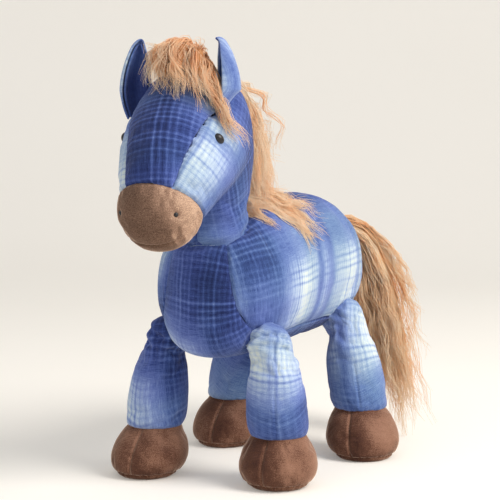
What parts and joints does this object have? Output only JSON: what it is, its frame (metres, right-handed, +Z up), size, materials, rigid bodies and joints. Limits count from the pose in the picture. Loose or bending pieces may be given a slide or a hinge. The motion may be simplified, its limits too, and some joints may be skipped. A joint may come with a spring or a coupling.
{
  "type": "plush horse",
  "caption": "Standing plush horse of plaid flannel with velour muzzle and hooves and a long pile mane and tail; its head turns, its legs swing and its ears and tail flex.",
  "frame": {"origin": "on the floor under the middle of the toy's own box", "axes": "+Z up, the horse faces -Y, its left side is +X"},
  "size_m": [0.2202, 0.4272, 0.396],
  "materials": {
    "plaid_flannel": "matte",
    "velour": "matte",
    "ear_lining": "matte",
    "pile": "satin",
    "fibrefill": "matte",
    "thread": "matte",
    "eye_plastic": "satin",
    "washer_plastic": "matte"
  },
  "bodies": {
    "torso": {"torso_fill": "fibrefill", "torso_side_left": "plaid_flannel", "torso_side_right": "plaid_flannel", "chest_belly_gusset": "plaid_flannel", "neck_thread": "thread", "mane_lower": "pile"},
    "head": {"head_fill": "fibrefill", "forehead_gusset": "plaid_flannel", "cheek_left": "plaid_flannel", "cheek_right": "plaid_flannel", "muzzle_top": "velour", "muzzle_chin": "velour", "eye_left": "eye_plastic", "eye_right": "eye_plastic", "eye_washer_left": "washer_plastic", "eye_washer_right": "washer_plastic", "nostril_left": "eye_plastic", "nostril_right": "eye_plastic", "forelock": "pile", "mane_upper": "pile"},
    "ear_left": {"ear_left_outer": "plaid_flannel", "ear_left_lining": "ear_lining"},
    "ear_right": {"ear_right_outer": "plaid_flannel", "ear_right_lining": "ear_lining"},
    "tail": {"tail": "pile"},
    "leg_front_left": {"leg_sleeve_front_left": "plaid_flannel", "leg_fill_front_left": "fibrefill", "hoof_fill_front_left": "fibrefill", "hoof_outer_front_left": "velour", "hoof_inner_front_left": "velour", "hoof_sole_front_left": "velour"},
    "leg_front_right": {"leg_sleeve_front_right": "plaid_flannel", "leg_fill_front_right": "fibrefill", "hoof_fill_front_right": "fibrefill", "hoof_outer_front_right": "velour", "hoof_inner_front_right": "velour", "hoof_sole_front_right": "velour"},
    "leg_hind_left": {"leg_sleeve_hind_left": "plaid_flannel", "leg_fill_hind_left": "fibrefill", "hoof_fill_hind_left": "fibrefill", "hoof_outer_hind_left": "velour", "hoof_inner_hind_left": "velour", "hoof_sole_hind_left": "velour"},
    "leg_hind_right": {"leg_sleeve_hind_right": "plaid_flannel", "leg_fill_hind_right": "fibrefill", "hoof_fill_hind_right": "fibrefill", "hoof_outer_hind_right": "velour", "hoof_inner_hind_right": "velour", "hoof_sole_hind_right": "velour"}
  },
  "joints": [
    {"name": "head_turn", "type": "hinge", "parent": "torso", "child": "head", "pos_m": [-0.0073, -0.07863, 0.2276], "axis": [0, -0.342, 0.9397], "range_deg": [-20, 20], "deforming": ["mane_upper", "mane_lower"]},
    {"name": "ear_left_fold", "type": "hinge", "parent": "head", "child": "ear_left", "pos_m": [0.03715, -0.14662, 0.33615], "axis": [0.7405, -0.2695, -0.6157], "range_deg": [-20, 20], "stiffness_Nm_per_rad": 0.03, "deforming": ["forelock"]},
    {"name": "ear_right_fold", "type": "hinge", "parent": "head", "child": "ear_right", "pos_m": [-0.04186, -0.15214, 0.33615], "axis": [-0.6958, -0.37, -0.6157], "range_deg": [-20, 20], "stiffness_Nm_per_rad": 0.03, "deforming": ["forelock"]},
    {"name": "leg_front_left_swing", "type": "hinge", "parent": "torso", "child": "leg_front_left", "pos_m": [0.04912, -0.06676, 0.1296], "axis": [1, 0, 0], "range_deg": [-20, 20]},
    {"name": "leg_front_right_swing", "type": "hinge", "parent": "torso", "child": "leg_front_right", "pos_m": [-0.06372, -0.06676, 0.1296], "axis": [1, 0, 0], "range_deg": [-20, 20]},
    {"name": "leg_hind_left_swing", "type": "hinge", "parent": "torso", "child": "leg_hind_left", "pos_m": [0.04912, 0.10004, 0.13268], "axis": [1, 0, 0], "range_deg": [-20, 20]},
    {"name": "leg_hind_right_swing", "type": "hinge", "parent": "torso", "child": "leg_hind_right", "pos_m": [-0.06372, 0.10004, 0.13268], "axis": [1, 0, 0], "range_deg": [-20, 20]},
    {"name": "tail_swing", "type": "hinge", "parent": "torso", "child": "tail", "pos_m": [-0.0073, 0.15286, 0.2178], "axis": [0, 1, 0], "range_deg": [-20, 20], "stiffness_Nm_per_rad": 0.2, "springref_deg": -2.86}
  ]
}
